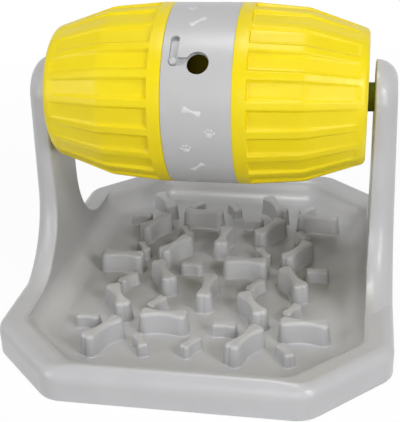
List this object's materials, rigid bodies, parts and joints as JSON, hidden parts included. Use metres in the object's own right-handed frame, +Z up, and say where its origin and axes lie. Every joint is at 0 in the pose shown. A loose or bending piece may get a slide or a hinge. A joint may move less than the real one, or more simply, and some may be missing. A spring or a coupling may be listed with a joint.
{
  "type": "slow feeder bowl",
  "caption": "Octagonal slow feeder tray with a maze of bone-shaped ridges and two uprights that carry a rotating treat barrel with a shuttered outlet.",
  "frame": {"origin": "on the table, under the middle of the tray", "axes": "+X to the right and along the barrel, +Y to the back, +Z up"},
  "size_m": [0.298, 0.372, 0.2396],
  "materials": {
    "grey_moulding": "satin",
    "grey_band": "satin",
    "yellow_shell": "satin",
    "olive_stub": "matte",
    "rubber_foot": "matte"
  },
  "bodies": {
    "stand": {"stand": "grey_moulding", "front_left_foot": "rubber_foot", "front_right_foot": "rubber_foot", "back_left_foot": "rubber_foot", "back_right_foot": "rubber_foot"},
    "barrel": {"centre_band": "grey_band", "right_shell": "yellow_shell", "right_axle_stub": "olive_stub"},
    "shutter": {"shutter_ring": "grey_band"},
    "left_end": {"left_shell": "yellow_shell", "left_axle_stub": "olive_stub"}
  },
  "joints": [
    {"name": "barrel_spin", "type": "hinge", "parent": "stand", "child": "barrel", "pos_m": [0, 0, 0.169], "axis": [1, 0, 0], "continuous": true},
    {"name": "shutter_turn", "type": "hinge", "parent": "barrel", "child": "shutter", "pos_m": [0, 0, 0.169], "axis": [-1, 0, 0], "range_deg": [0, 14.5]},
    {"name": "left_shell_twist", "type": "hinge", "parent": "barrel", "child": "left_end", "pos_m": [0, 0, 0.169], "axis": [-1, 0, 0], "range_deg": [0, 30]}
  ]
}
